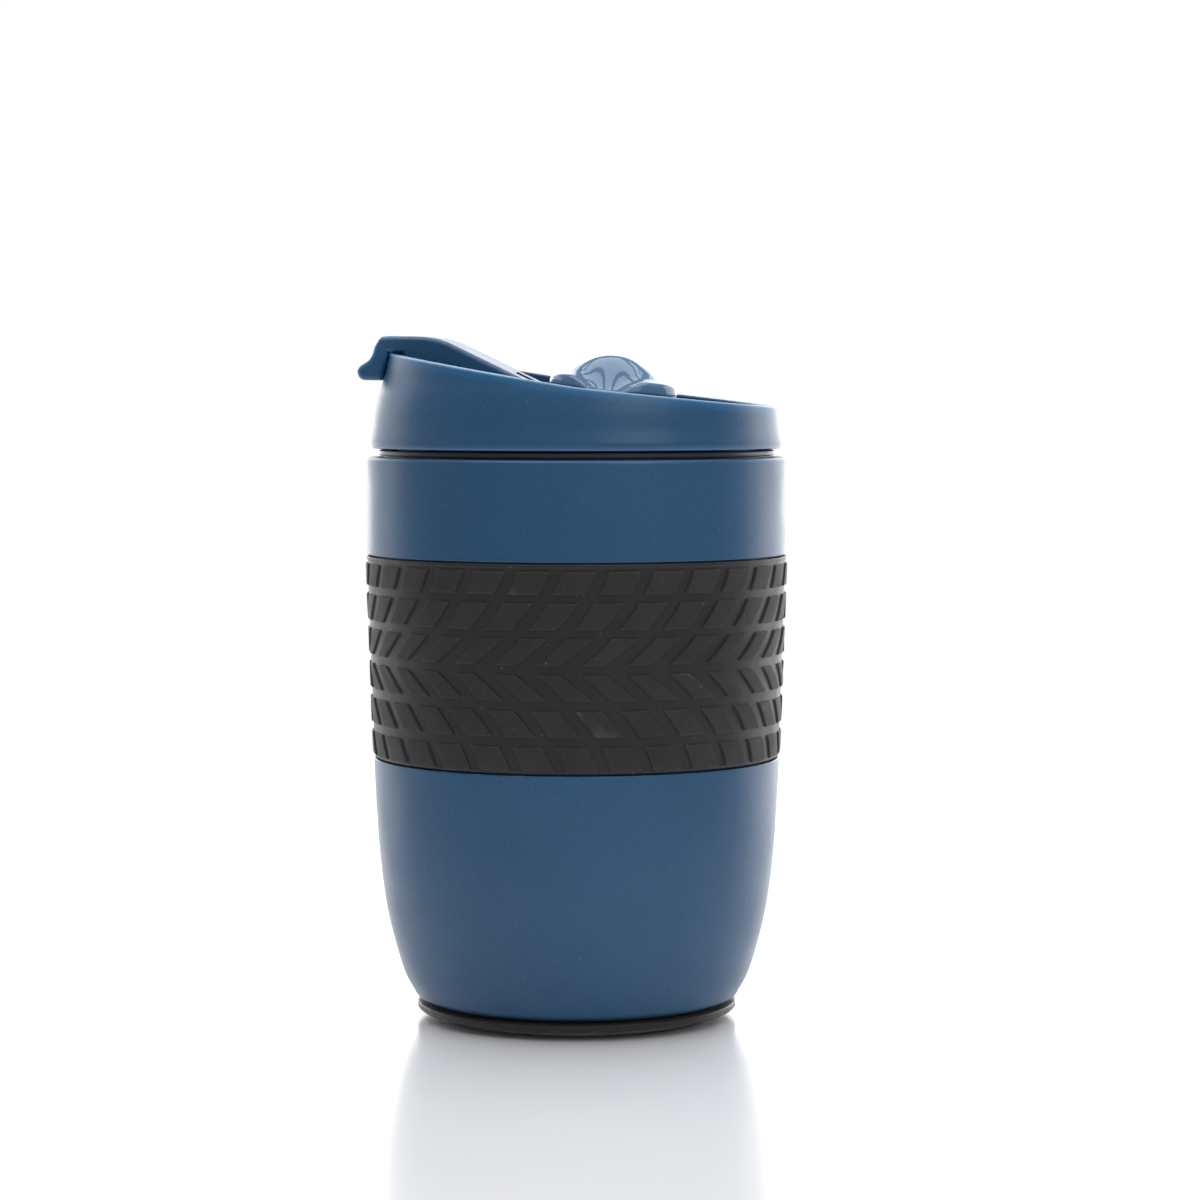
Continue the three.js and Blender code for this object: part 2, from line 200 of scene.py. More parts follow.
class Finish:
    def __init__(self, name, **fixed):
        self.material = bpy.data.materials.new(name)
        self.material.use_nodes = True
        self.tree = self.material.node_tree
        self.shader = self.tree.nodes["Principled BSDF"]
        for socket, value in fixed.items():
            self.shader.inputs[socket.replace("_", " ")].default_value = value
        self.place = self.add("ShaderNodeTexCoord").outputs["Object"]

    def add(self, kind, **settings):
        node = self.tree.nodes.new(kind)
        for key, value in settings.items():
            setattr(node, key, value)
        return node

    def link(self, source, target):
        self.tree.links.new(source, target)

    def stretched(self, scale):
        mapping = self.add("ShaderNodeMapping")
        mapping.inputs["Scale"].default_value = scale
        self.link(self.place, mapping.inputs["Vector"])
        return mapping.outputs["Vector"]

    def noise(self, scale, detail=3.0, vector=None, rough=0.55):
        node = self.add("ShaderNodeTexNoise")
        node.inputs["Scale"].default_value = scale
        node.inputs["Detail"].default_value = detail
        node.inputs["Roughness"].default_value = rough
        self.link(vector or self.place, node.inputs["Vector"])
        return node.outputs["Fac"]

    def spread(self, value, fromLow, fromHigh, toLow, toHigh):
        node = self.add("ShaderNodeMapRange")
        for socket, number in (("From Min", fromLow), ("From Max", fromHigh),
                               ("To Min", toLow), ("To Max", toHigh)):
            node.inputs[socket].default_value = number
        self.link(value, node.inputs["Value"])
        return node.outputs["Result"]

    def between(self, source, low, high):
        # a noise's usual range, opened out to low and high
        return self.spread(source, 0.3, 0.7, low, high)

    def mixed(self, amount, first, second):
        node = self.add("ShaderNodeMix", data_type="RGBA")
        for index, colour in ((6, first), (7, second)):
            if isinstance(colour, (list, tuple)):
                node.inputs[index].default_value = colour
            else:
                self.link(colour, node.inputs[index])
        self.link(amount, node.inputs[0])
        return node.outputs[2]

    def bump(self, height, distance, strength=1.0, under=None):
        node = self.add("ShaderNodeBump")
        node.inputs["Distance"].default_value = distance
        node.inputs["Strength"].default_value = strength
        self.link(height, node.inputs["Height"])
        if under:
            self.link(under, node.inputs["Normal"])
        return node.outputs["Normal"]

    def colour(self, source):
        self.link(source, self.shader.inputs["Base Color"])

    def rough(self, source):
        self.link(source, self.shader.inputs["Roughness"])

    def normal(self, source):
        self.link(source, self.shader.inputs["Normal"])

    def worn(self, colour, edge, amount):
        # a little lighter where an edge is rubbed
        geometry = self.add("ShaderNodeNewGeometry")
        sharp = self.spread(geometry.outputs["Pointiness"], wear["start"], wear["full"], 0, amount)
        patch = self.noise(wear["scale"], 4)
        product = self.add("ShaderNodeMath", operation="MULTIPLY")
        self.link(sharp, product.inputs[0])
        self.link(patch, product.inputs[1])
        return self.mixed(product.outputs[0], colour, edge)

    def dusted(self, colour, speck, scale, threshold):
        # sparse pale specks of dust
        fleck = self.noise(scale, 2)
        shown = self.spread(fleck, threshold, threshold + dust["step"], 0, dust["share"])
        return self.mixed(shown, colour, speck)


# two of these colours are painted light: a painted glow under the lid's rim and a painted highlight line
# along its edges
bluePaint = dict(
    deep=fromSrgb(18, 74, 113), soft=fromSrgb(25, 81, 121), edge=fromSrgb(88, 120, 150),
    paintedLight=fromSrgb(24, 104, 158), line=fromSrgb(150, 186, 214), grain=fromSrgb(62, 106, 142),
    speck=fromSrgb(150, 170, 190), roughness=(0.34, 0.42), paintedLightShare=0.8, rubbed=0.5,
    grainShare=0.16, speckScale=1100, speckFrom=0.755,
)


def makeBluePaint(name, paintsRimLight):
    finish = Finish(name, Specular_IOR_Level=0.5, Coat_Weight=0.12, Coat_Roughness=0.28)
    tone = finish.mixed(finish.between(finish.noise(28, 4), 0, 1), bluePaint["deep"], bluePaint["soft"])
    if paintsRimLight:
        # painted light: up to 1 it is a painted glow, light soaking through the thin rim; from 1 to 2 it is
        # a painted highlight line on the edge
        rim = finish.add("ShaderNodeAttribute", attribute_name="paintedRimLight").outputs["Fac"]
        tone = finish.mixed(finish.spread(rim, 0, 1, 0, bluePaint["paintedLightShare"]), tone, bluePaint["paintedLight"])
        tone = finish.mixed(finish.spread(rim, 1, 2, 0, bluePaint["paintedLightShare"]), tone, bluePaint["line"])
    tone = finish.worn(tone, bluePaint["edge"], bluePaint["rubbed"])
    grain = finish.spread(finish.noise(2100, 2), 0.42, 0.62, 0, bluePaint["grainShare"])
    tone = finish.mixed(grain, tone, bluePaint["grain"])
    finish.colour(finish.dusted(tone, bluePaint["speck"], bluePaint["speckScale"], bluePaint["speckFrom"]))
    finish.rough(finish.between(finish.noise(90, 5), *bluePaint["roughness"]))
    peel = finish.bump(finish.noise(2400, 3), distance=0.00006, strength=0.6)
    turning = finish.noise(900, 2, finish.stretched((0.12, 0.12, 3.2)))
    finish.normal(finish.bump(turning, distance=0.00004, strength=0.26, under=peel))
    return finish.material


glossBlue = dict(deep=fromSrgb(80, 116, 151), soft=fromSrgb(94, 130, 164), roughness=(0.06, 0.11))


def makeGlossBlue():
    finish = Finish("glossBlueKnob", Specular_IOR_Level=0.42, Coat_Weight=0.12, Coat_Roughness=0.03)
    finish.colour(finish.mixed(finish.between(finish.noise(60, 3), 0, 1),
                               glossBlue["deep"], glossBlue["soft"]))
    smear = finish.noise(45, 5, finish.stretched((1, 3, 1)))
    finish.rough(finish.spread(smear, 0.35, 0.7, *glossBlue["roughness"]))
    finish.normal(finish.bump(finish.noise(110, 2), distance=0.0002, strength=0.05))
    return finish.material


rubber = dict(top=fromSrgb(35, 32, 35), topPale=fromSrgb(43, 40, 43), floor=fromSrgb(30, 28, 31),
              foot=fromSrgb(26, 25, 29), footPale=fromSrgb(34, 32, 36), edge=fromSrgb(98, 94, 96),
              speck=fromSrgb(150, 145, 140), roughSpan=0.06, rubbed=0.55, speckScale=1300,
              speckFrom=0.735)


def makeRubber(name, dark, pale, roughness, grain):
    finish = Finish(name, Specular_IOR_Level=0.42, Sheen_Weight=0.06, Sheen_Roughness=0.5)
    tone = finish.mixed(finish.spread(finish.noise(70, 5), 0.32, 0.68, 0, 1), dark, pale)
    tone = finish.worn(tone, rubber["edge"], rubber["rubbed"])
    finish.colour(finish.dusted(tone, rubber["speck"], rubber["speckScale"], rubber["speckFrom"]))
    span = rubber["roughSpan"]
    finish.rough(finish.between(finish.noise(240, 4), roughness - span, roughness + span))
    pits = finish.bump(finish.noise(2600, 3), distance=0.00008, strength=grain)
    finish.normal(finish.bump(finish.noise(420, 3), distance=0.00012, strength=grain * 0.6, under=pits))
    return finish.material


darkPlastic = dict(deep=fromSrgb(52, 56, 65), soft=fromSrgb(62, 66, 76), edge=fromSrgb(110, 114, 120),
                   roughness=(0.3, 0.46), rubbed=0.4)


def makeDarkPlastic():
    finish = Finish("darkPlastic", Specular_IOR_Level=0.5)
    tone = finish.mixed(finish.between(finish.noise(55, 4), 0, 1), darkPlastic["deep"], darkPlastic["soft"])
    finish.colour(finish.worn(tone, darkPlastic["edge"], darkPlastic["rubbed"]))
    finish.rough(finish.between(finish.noise(120, 4), *darkPlastic["roughness"]))
    finish.normal(finish.bump(finish.noise(1500, 3), distance=0.00005, strength=0.25))
    return finish.material


silicone = dict(deep=fromSrgb(176, 178, 184), soft=fromSrgb(196, 198, 202), roughness=(0.28, 0.46))


def makeSilicone():
    finish = Finish("paleSilicone", Specular_IOR_Level=0.45, Transmission_Weight=0.25,
                    Subsurface_Weight=0.25, Subsurface_Scale=0.002, IOR=1.41)
    finish.colour(finish.mixed(finish.between(finish.noise(80, 4), 0, 1),
                               silicone["deep"], silicone["soft"]))
    finish.rough(finish.between(finish.noise(200, 4), *silicone["roughness"]))
    finish.normal(finish.bump(finish.noise(1300, 3), distance=0.00006, strength=0.3))
    return finish.material


steel = dict(deep=fromSrgb(218, 220, 222), soft=fromSrgb(238, 239, 241), smoother=0.07, rougher=0.1)


def makeSteel(name, stretch, roughness):
    finish = Finish(name, Metallic=0.92, Anisotropic=0.4)
    hair = finish.noise(420, 6, finish.stretched(stretch), 0.7)
    finish.colour(finish.mixed(finish.between(hair, 0, 1), steel["deep"], steel["soft"]))
    finish.rough(finish.between(hair, roughness - steel["smoother"], roughness + steel["rougher"]))
    finish.normal(finish.bump(hair, distance=0.00003, strength=0.25))
    return finish.material


bluePaintMaterial = makeBluePaint("satinBluePaint", False)
# the lid's paint also carries painted light: a painted glow and painted highlight lines at the rim
lidPaintAndLightMaterial = makeBluePaint("satinLidPaintAndRimLight", True)
glossBlueMaterial = makeGlossBlue()
treadTopMaterial = makeRubber("treadBlockRubber", rubber["top"], rubber["topPale"], 0.66, 0.4)
treadFloorMaterial = makeRubber("treadGrooveRubber", rubber["floor"], rubber["top"], 0.47, 0.25)
footRubberMaterial = makeRubber("footRubber", rubber["foot"], rubber["footPale"], 0.4, 0.3)
darkPlasticMaterial = makeDarkPlastic()
siliconeMaterial = makeSilicone()
linerSteelMaterial = makeSteel("brushedSteel", (0.6, 0.6, 9), 0.36)
screwSteelMaterial = makeSteel("screwSteel", (4, 4, 4), 0.3)
print("materials made")


shell = dict(
    side=[(34.5, 5.0), (36.9, 9.5), (39.0, 16.3), (40.6, 23.1), (41.6, 30.0), (42.3, 36.8),
          (42.75, 43.6), (43.1, 50.5), (43.3, 55.6)],
    inside=[(41.3, 98.6), (39.9, 54), (39.9, 44), (39.0, 31), (37.6, 22), (36.6, 17)],
    toeR=33.5, openingR=31.5, ledgeR=36.6, chamberR=33.4, mouthR=41.5, ledgeZ=15.7, floorThick=2.0,
    recess=0.3, sleeveInnerLow=41.9, sleeveInnerHigh=43.3, straight=5,
)


def makeShell():
    low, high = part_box("outer_shell")
    bottom, top, bandR = low.z / mm, high.z / mm, high.x / mm
    sleeveLow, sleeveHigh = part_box("grip_sleeve")
    recessLow = sleeveLow.z / mm - shell["recess"]
    recessHigh = sleeveHigh.z / mm + shell["recess"]
    floor = bottom + shell["floorThick"]
    outline = [(shell["openingR"], bottom, 0.4), (shell["toeR"], bottom, 1.2)]
    outline += smoothRun(shell["side"])[:-1]
    outline += [
        (shell["side"][-1][0], recessLow, 0.3), (shell["sleeveInnerLow"] - shell["recess"], recessLow),
        (shell["sleeveInnerHigh"] - shell["recess"], recessHigh), (bandR, recessHigh, 0.3),
        (bandR, recessHigh + shell["straight"]), (bandR, top - shell["straight"]),
        (bandR, top, 0.9), (shell["mouthR"], top, 0.4), *shell["inside"],
        (shell["ledgeR"], shell["ledgeZ"]), (shell["chamberR"], shell["ledgeZ"]),
        (shell["chamberR"], floor), (shell["openingR"], floor, 0.4),
    ]
    piece = turned("mugShell", rounded(outline), "mug", "outer_shell", 224)
    piece.data.materials.append(bluePaintMaterial)


liner = dict(
    side=[(27.0, 20.6), (31.6, 21.6), (34.4, 24.6), (36.2, 30), (37.4, 40), (38.2, 52),
          (38.9, 70), (39.5, 90), (39.9, 104)],
    wall=0.7, floorRise=0.3, floorEnd=30, underZ=20.6, floorZ=21.3, innerR=39.2,
)


def makeLiner():
    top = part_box("inner_liner")[1].z / mm
    side = smoothRun(liner["side"])
    inside = [(r - liner["wall"], z + liner["floorRise"] * (z < liner["floorEnd"])) for r, z in side]
    outline = [(0, liner["underZ"]), *side, (liner["side"][-1][0], top, 0.3)]
    outline += [(liner["innerR"], top, 0.3), *inside[::-1], (0, liner["floorZ"])]
    piece = turned("steelLiner", rounded(outline, False), "mug", "inner_liner", 180,
                   closed=False)
    piece.data.materials.append(linerSteelMaterial)


collar = dict(skirtInnerR=40.35, skirtR=41.15, mouthR=39.0, thick=1.2)


def makeCollar():
    low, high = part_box("mouth_collar")
    bottom, top, edgeR = low.z / mm, high.z / mm, high.x / mm
    seat = top - collar["thick"]
    outline = [
        (collar["skirtInnerR"], bottom, 0.2), (collar["skirtR"], bottom, 0.2),
        (collar["skirtR"], seat), (edgeR, seat, 0.3), (edgeR, top, 0.4),
        (collar["mouthR"], top, 0.4), (collar["mouthR"], seat), (collar["skirtInnerR"], seat),
    ]
    piece = turned("mouthCollar", rounded(outline), "mug", "mouth_collar", 200)
    piece.data.materials.append(darkPlasticMaterial)


# away from the middle height, lean and bend shift a block (mm), widen and ease change its width (degrees)
tread = dict(
    blocks=30, turn=7.5, phase=1.7,
    rows=[(92.5, 97.1), (85.3, 90.7), (78.05, 83.5), (70.9, 76.1), (63.45, 68.75), (56.5, 61.4)],
    middle=77.1, start=1.05, lean=1.214, bend=0.0234, narrow=6.1, widen=0.17, ease=0.0018,
    elbow=0.3, elbowReach=1.7, height=0.45, sunk=0.12, shoulders=(0.28, 0.40), bevel=0.1, flat=0.34,
)
sleeveSide = [(43.28, 55.9), (43.62, 57.2), (44.0, 67.5), (44.4, 80), (44.8, 91), (44.98, 96.8)]


def sleeveR(z):
    return float(np.interp(z, [p[1] for p in sleeveSide], [p[0] for p in sleeveSide]))


def makeSleeve():
    low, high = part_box("grip_sleeve")
    bottom, top = low.z / mm, high.z / mm
    outline = [(shell["sleeveInnerLow"], bottom), (sleeveR(bottom) - 0.25, bottom, 0.35),
               (sleeveR(bottom) - 0.12, bottom + 0.55, 0.2)]
    outline += [(sleeveR(z) - tread["height"], z) for z in np.linspace(bottom + 1.0, top - 0.9, 24)]
    outline += [(sleeveR(top) - 0.2, top - 0.55, 0.25), (sleeveR(top) - 0.25, top, 0.3),
                (shell["sleeveInnerHigh"], top)]
    band = turned("gripSleeve", rounded(outline), "mug", "grip_sleeve", 240)
    band.data.materials.append(treadFloorMaterial)

    points, faces = [], []
    for rowLow, rowHigh in tread["rows"]:
        for k in range(tread["blocks"]):
            addBlock(points, faces, rowLow, rowHigh, k)
    blocks = put("treadBlocks", points, faces, "mug")
    blocks.data.materials.append(treadTopMaterial)
    tidyNormals(blocks, 60)


def blockSteps(size):
    # across a block: foot, rounded edge, flat top, rounded edge, foot
    bevel, flat = tread["bevel"], tread["flat"]
    return [-bevel, 0, bevel, flat, size / 3, 2 * size / 3, size - flat, size - bevel, size, size + bevel]


def addBlock(points, faces, rowLow, rowHigh, index):
    # a slanted block whose sides follow the groove's curve
    ups = blockSteps(rowHigh - rowLow)
    climb = [-tread["sunk"], *tread["shoulders"]]
    lifts = climb + 4 * [tread["height"]] + climb[::-1]
    first, columns = len(points), len(ups)
    ends = (0, 1, columns - 2, columns - 1)
    for j, up in enumerate(ups):
        z = rowLow + up
        radius = sleeveR(z)
        along = max(abs(z - tread["middle"]) - tread["start"], 0)
        shift = tread["lean"] * along - tread["bend"] * along ** 2
        left = tread["phase"] + math.degrees(shift / radius) + index * 360 / tread["blocks"]
        wide = tread["narrow"] + tread["widen"] * along - tread["ease"] * along ** 2
        wide = math.radians(wide) * radius
        wide -= tread["elbow"] * max(1 - along / tread["elbowReach"], 0) ** 2
        for i, offset in enumerate(blockSteps(wide)):
            if i in ends and j in ends:
                offset += tread["bevel"] if i < 2 else -tread["bevel"]
            r = radius - tread["height"] + min(lifts[i], lifts[j])
            angle = math.radians(left) + offset / radius + math.radians(tread["turn"])
            points.append((r * math.sin(angle), -r * math.cos(angle), z))
    for j in range(columns - 1):
        for i in range(columns - 1):
            a = first + j * columns + i
            faces.append([a, a + 1, a + columns + 1, a + columns])
    # the flat underside, sunk in the band
    last = (columns - 1) * columns
    border = list(range(columns)) + [j * columns + columns - 1 for j in range(1, columns)]
    border += list(range(last + columns - 2, last - 1, -1))
    border += [j * columns for j in range(columns - 2, 0, -1)]
    faces.append([first + k for k in border])


foot = dict(boreR=29.6, neckR=31.0, carrierZ=7.4, carrierTop=9.0, holeR=4.5, flangeThick=1.7,
            catchZ=9.0, catchR=32.7, tipR=31.6, tipInnerR=29.8, windows=4, windowHalf=12,
            window=[(27, 3.7, 0.8), (36, 3.7, 0.8), (36, 6.9, 0.8), (27, 6.9, 0.8)])


def makeBaseRing():
    low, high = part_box("base_ring")
    edgeR, bottom, top = high.x / mm, low.z / mm, high.z / mm
    flangeTop = bottom + foot["flangeThick"]
    outline = [
        (foot["boreR"] + 0.2, bottom, 0.35), (edgeR - 0.6, bottom, 0.3), (edgeR, bottom + 0.5, 0.2),
        (edgeR, flangeTop - 0.25, 0.15), (edgeR - 0.25, flangeTop, 0.15), (foot["neckR"], flangeTop, 0.3),
        (foot["neckR"], foot["catchZ"]), (foot["catchR"], foot["catchZ"] + 0.3, 0.2),
        (foot["catchR"], foot["catchZ"] + 0.7, 0.2), (foot["tipR"], top, 0.3),
        (foot["tipInnerR"], top, 0.3), (foot["tipInnerR"], foot["carrierTop"]),
        (foot["holeR"], foot["carrierTop"], 0.3), (foot["holeR"], foot["carrierZ"], 0.3),
        (foot["boreR"], foot["carrierZ"]), (foot["boreR"], bottom + 0.4),
    ]
    piece = turned("footRing", rounded(outline), "suction_foot", "base_ring", 200)
    for k in range(foot["windows"]):
        window = plainBar(rounded(foot["window"]), -foot["windowHalf"], foot["windowHalf"])
        window.rotation_euler = (0, 0, math.pi / 4 + k * math.pi / 2)
        bpy.context.view_layer.update()
        cutWith(piece, window)
    piece.data.materials.clear()
    piece.data.materials.append(footRubberMaterial)


cup = dict(
    body=[(27.8, 0.0, 0.15), (28.6, 0.0, 0.25), (28.8, 0.5, 0.25), (28.35, 1.0, 0.2),
          (28.6, 1.5, 0.25), (28.05, 2.1, 0.2), (28.2, 2.7, 0.3), (27.5, 3.6, 0.5), (26.9, 7.1, 0.5),
          (5.0, 7.1, 0.2), (5.0, 5.9, 0.2), (20.0, 5.9), (20.0, 4.4, 0.3), (20.9, 4.1, 0.4)],
    hollow=[(22.5, 3.75), (24.4, 2.9), (26.0, 1.85), (27.2, 0.75)],
    plateHoleR=4.0,
)


def makeCup():
    outline = cup["body"] + smoothRun(cup["hollow"], 4)
    piece = turned("suctionCup", rounded(outline), "suction_foot", "suction_cup", 180)
    piece.data.materials.append(siliconeMaterial)
    low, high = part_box("cup_clamp_plate")
    bottom, top, edgeR, holeR = low.z / mm, high.z / mm, high.x / mm, cup["plateHoleR"]
    plate = turned("cupClampPlate", rounded([
        (holeR, bottom, 0.3), (edgeR, bottom, 0.35), (edgeR, top, 0.2), (holeR, top, 0.2),
    ]), "suction_foot", "cup_clamp_plate", 128)
    plate.data.materials.append(darkPlasticMaterial)


screw = dict(count=3, headR=2.4, headTall=0.9, shankR=1.2, point=0.6,
             cross=[(0.32, 1.25), (1.21, 0.33)], crossDeep=0.45)


def makeFootScrews():
    # pan heads underneath, each with a cross recess
    for k in range(1, screw["count"] + 1):
        node = f"clamp_screw_{k}"
        low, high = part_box(node)
        cx, cy = (low.x + high.x) / 2 / mm, (low.y + high.y) / 2 / mm
        bottom, top = low.z / mm, high.z / mm
        headTop, recess = bottom + screw["headTall"], bottom + screw["crossDeep"]
        piece = turned(f"clampScrew{k}", rounded([
            (0, bottom), (screw["headR"], bottom, 0.35), (screw["headR"], headTop, 0.1),
            (screw["shankR"], headTop), (screw["shankR"], top - screw["point"]), (0, top),
        ], False), "suction_foot", node, 40, (cx, cy), False)
        for wide, deep in screw["cross"]:
            slotBar = plainBar([(cx - wide, bottom - 1), (cx + wide, bottom - 1),
                                (cx + wide, recess), (cx - wide, recess)], cy - deep, cy + deep)
            cutWith(piece, slotBar)
        piece.data.materials.clear()
        piece.data.materials.append(screwSteelMaterial)


lid = dict(
    side=[(43.45, 121.9), (43.8, 122.6), (43.5, 124.3), (43.2, 126.0), (42.85, 129.4),
          (42.05, 132.9), (41.25, 135.2), (40.5, 138.0), (39.8, 141.2), (39.5, 143.0)],
    wall=2.0, highSlope=0.165, lowSlope=0.105, highRim=135.05, lowRim=134.75, blend=0.08,
    deckDepth=1.6, deckThick=2.0, channelDepth=6.3, channelFloor=1.6, channelHalf=10.7,
    channelEnd=-7.5, rimFillet=0.5, paintedGlowReach=2.4, footEdge=121.6, footInnerR=41.4, footR=43.35,
    seatR=41.3, seatRise=2.2, deckReach=43, deckGrid=1.6,
)
hinge = dict(x=-11.0, z=133.9, lugHalf=3.2, lugR=1.7, lugFoot=2.4, pinR=0.85, pinHalf=8.8, boreHalf=9.4,
             play=0.3)
drinkHole = dict(x=-30.0, radius=4.2, bead=0.7, beadOut=0.45)
knob = dict(x=7.8, lift=0.6, seatR=10.5)
knobTilt = math.atan(lid["lowSlope"])
knobBase = lid["lowRim"] - lid["lowSlope"] * knob["x"] - knob["lift"]


def rimZ(x):
    high = lid["highRim"] - lid["highSlope"] * x
    low = lid["lowRim"] - lid["lowSlope"] * x
    return (high + low) / 2 + np.hypot((high - low) / 2, lid["blend"])


def lidR(z):
    return np.interp(z, [p[1] for p in lidSide], [p[0] for p in lidSide])


lidSide = smoothRun(lid["side"], 4)


def makeLidWall(steps=256):
    points, rings = [], []
    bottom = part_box("lid_shell")[0].z / mm
    for k in range(steps):
        angle = 2 * math.pi * k / steps
        r = 41.0  # a first guess; the rim's radius and height settle on each other
        for _ in range(4):
            rim = float(rimZ(r * math.cos(angle)))
            r = float(lidR(rim))
        outline = [(lid["footInnerR"], bottom, 0.15), (lid["footR"], bottom, 0.35)]
        levels = np.linspace(bottom + 0.75, rim - 1.6, 22)
        outline += [(float(lidR(z)), float(z)) for z in levels]
        outline += [(r, rim, lid["rimFillet"]), (r - lid["wall"], rim, 0.45)]
        deck = rim - lid["deckDepth"] - 0.6
        outline += [(float(lidR(deck)) - lid["wall"], deck), (lid["seatR"], bottom + lid["seatRise"])]
        ring = []
        for radius, z in rounded(outline, True, 6):
            ring.append(len(points))
            points.append((radius * math.cos(angle), radius * math.sin(angle), z))
        rings.append(ring)
    faces = []
    size = len(rings[0])
    for k in range(steps):
        here, after = rings[k], rings[(k + 1) % steps]
        faces += [[here[i], here[(i + 1) % size], after[(i + 1) % size], after[i]] for i in range(size)]
    return points, faces


# the channel's edge: distance outside it, and the share of the depth there
edgeDrop = [(-0.9, 1.0), (-0.5, 0.985), (-0.3, 0.955), (-0.15, 0.9), (-0.06, 0.8), (0.0, 0.14),
            (0.06, 0.085), (0.18, 0.045), (0.35, 0.012), (0.6, 0.0)]


def channelShare(x, y, grow):
    dx = x - (lid["channelEnd"] + grow)
    dy = abs(y) - (lid["channelHalf"] + grow)
    away = np.hypot(np.maximum(dx, 0), np.maximum(dy, 0)) + np.minimum(np.maximum(dx, dy), 0)
    return np.interp(away, [e for e, _ in edgeDrop], [s for _, s in edgeDrop])


def makeDeck(points, faces):
    # a plate with the flap's channel sunk in it and the knob's seat raised on it
    offsets = [e for e, _ in edgeDrop]
    floor = lid["channelFloor"]
    grid = set(np.round(np.arange(-lid["deckReach"], lid["deckReach"] + 0.1, lid["deckGrid"]), 3))
    xs = grid | {lid["channelEnd"] + e for e in offsets}
    xs |= {lid["channelEnd"] + floor + e for e in offsets}
    ys = set(grid)
    for side in (-1, 1):
        ys |= {side * (lid["channelHalf"] + e) for e in offsets}
        ys |= {side * (lid["channelHalf"] + floor + e) for e in offsets}
    xs, ys = sorted(xs), sorted(ys)
    x, y = np.meshgrid(xs, ys, indexing="ij")
    reach = lidR(rimZ(x * 0.9)) - 1.0
    away = np.hypot(x, y)
    outside = away > reach
    shrink = np.where(outside, reach / np.maximum(away, 1e-6), 1)
    x, y = x * shrink, y * shrink
    top = rimZ(x) - lid["deckDepth"]
    seat = lid["lowRim"] - lid["lowSlope"] * x - knob["lift"] - 0.3
    ring = np.hypot((x - knob["x"]) / math.cos(knobTilt), y)
    top = top + np.maximum(seat - top, 0) * smoothStep((knob["seatR"] + 0.3 - ring) / 0.6)
    sunk = lid["channelDepth"] - lid["deckDepth"]
    under = rimZ(x) - lid["deckDepth"] - lid["deckThick"]
    sunkUnder = lid["channelDepth"] + floor - lid["deckDepth"] - lid["deckThick"]
    top = top - channelShare(x, y, 0) * sunk
    under = under - channelShare(x, y, floor) * sunkUnder
    rows, columns = x.shape
    base = len(points)
    for layer in (top, under):
        points += list(zip(x.ravel(), y.ravel(), layer.ravel()))
    layerSize = rows * columns
    edges = {}
    for i in range(rows - 1):
        for j in range(columns - 1):
            if outside[i:i + 2, j:j + 2].all():
                continue
            a = i * columns + j
            quad = [a, a + 1, a + columns + 1, a + columns]
            faces.append([base + v for v in quad])
            faces.append([base + layerSize + v for v in quad[::-1]])
            for p, q in zip(quad, quad[1:] + quad[:1]):
                key = (min(p, q), max(p, q))
                edges[key] = edges.get(key, 0) + 1
    for (p, q), uses in edges.items():
        if uses == 1:
            faces.append([base + p, base + q, base + layerSize + q, base + layerSize + p])


def makeLidShell():
    points, faces = makeLidWall()
    wall = put("lidShell", points, faces, "lid", "lid_shell")
    points, faces = [], []
    makeDeck(points, faces)
    deck = put("lidDeck", points, faces, "lid")
    cutWith(deck, plainPost(drinkHole["x"], 0, drinkHole["radius"], 125, 138))
    floorZ = float(rimZ(hinge["x"])) - lid["channelDepth"]
    outline = [(hinge["x"] - hinge["lugFoot"], floorZ - 1.0), (hinge["x"] + hinge["lugFoot"], floorZ - 1.0)]
    outline += [(hinge["x"] + hinge["lugR"] * math.cos(a), hinge["z"] + hinge["lugR"] * math.sin(a))
                for a in np.linspace(0, math.pi, 17)]
    lug = plainBar(outline, -hinge["lugHalf"], hinge["lugHalf"])
    softenEdges(lug, 0.3)
    lip = drinkLip()
    for part in (deck, lug, lip):
        part.parent = None
    joinInto(wall, [deck, lug, lip])
    wall.data.materials.clear()
    wall.data.materials.append(lidPaintAndLightMaterial)
    # paints the glow and the highlight lines at the rim and lower edge into the lid's colour
    paintRimLight(wall)
    for face in wall.data.polygons:
        face.material_index = 0
        face.use_smooth = True
    tidyNormals(wall, 40)


def paintRimLight(wall):
    # painted light: 2 on the rim's very edge, a painted highlight line; 1 just under it, a painted glow,
    # falling to 0 a little way down the outside; up to 1.5 along the lid's lower edge, a painted highlight
    # line
    paintedLight = wall.data.attributes.new("paintedRimLight", "FLOAT", "POINT")
    for vertex, value in zip(wall.data.vertices, paintedLight.data):
        x, y, z = vertex.co / mm
        below = float(rimZ(x)) - z
        inward = float(lidR(z)) - math.hypot(x, y)
        corner = 1 - abs(below - inward) / lid["rimFillet"] if max(below, inward) < 0.6 else 0
        low = 1 - abs(z - lid["footEdge"]) / 0.3 if inward < 0.8 and z < lid["footEdge"] + 0.3 else 0
        paintedGlowBand = float(smoothStep(1 - below / lid["paintedGlowReach"])) * (inward < 1)
        value.value = paintedGlowBand + max(corner, 0) + 1.5 * max(low, 0)


def paintFlapHighlights(piece):
    # painted highlights on the fillets along both sides of the tab
    paintedLight = piece.data.attributes.new("paintedRimLight", "FLOAT", "POINT")
    for vertex, value in zip(piece.data.vertices, paintedLight.data):
        x, y, z = vertex.co / mm
        turn = (abs(y) - flap["half"] + flap["edge"]) / flap["edge"]
        shown = smoothStep((-34 - x) / 6) if 0 < turn < 1 else 0
        value.value = float(1.25 * math.sin(math.pi * min(max(turn, 0), 1)) * shown)


